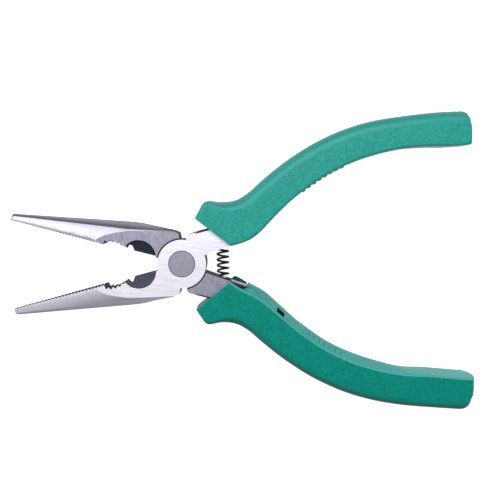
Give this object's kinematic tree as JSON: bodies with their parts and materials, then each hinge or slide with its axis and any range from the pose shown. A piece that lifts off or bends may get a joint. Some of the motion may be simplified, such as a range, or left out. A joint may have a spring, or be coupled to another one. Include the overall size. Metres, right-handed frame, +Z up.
{
  "type": "long-nose pliers",
  "caption": "Long-nose pliers with serrated jaws, toothed pipe grip and side cutters, turning on a flush rivet and sprung open by a coil spring, with curved moulded grips.",
  "frame": {"origin": "on the pivot axis, at the underside face of the lap joint", "axes": "+X back towards the handles, +Y towards the upper handle, +Z up along the pivot axis; drawn at rest, sprung open by 29 degrees"},
  "size_m": [0.1564, 0.1016, 0.013],
  "materials": {
    "front_steel": "bright ground and brushed steel",
    "rear_steel": "ground and brushed steel, darker by its grain direction",
    "rivet_steel": "satin steel, ground flush",
    "spring_steel": "black oil-tempered spring wire",
    "grip": "soft moulded vinyl, satin, teal green"
  },
  "bodies": {
    "rear_half": {"rear_jaw_half": "rear_steel", "lower_grip": "grip", "pivot_rivet": "rivet_steel", "return_spring": "spring_steel"},
    "front_half": {"front_jaw_half": "front_steel", "upper_grip": "grip"}
  },
  "joints": [
    {"name": "pivot", "type": "hinge", "parent": "rear_half", "child": "front_half", "pos_m": [0, 0, 0.0045], "axis": [0, 0, 1], "range_deg": [-29.2, 12], "stiffness_Nm_per_rad": 0.3, "deforming": ["return_spring"]}
  ]
}
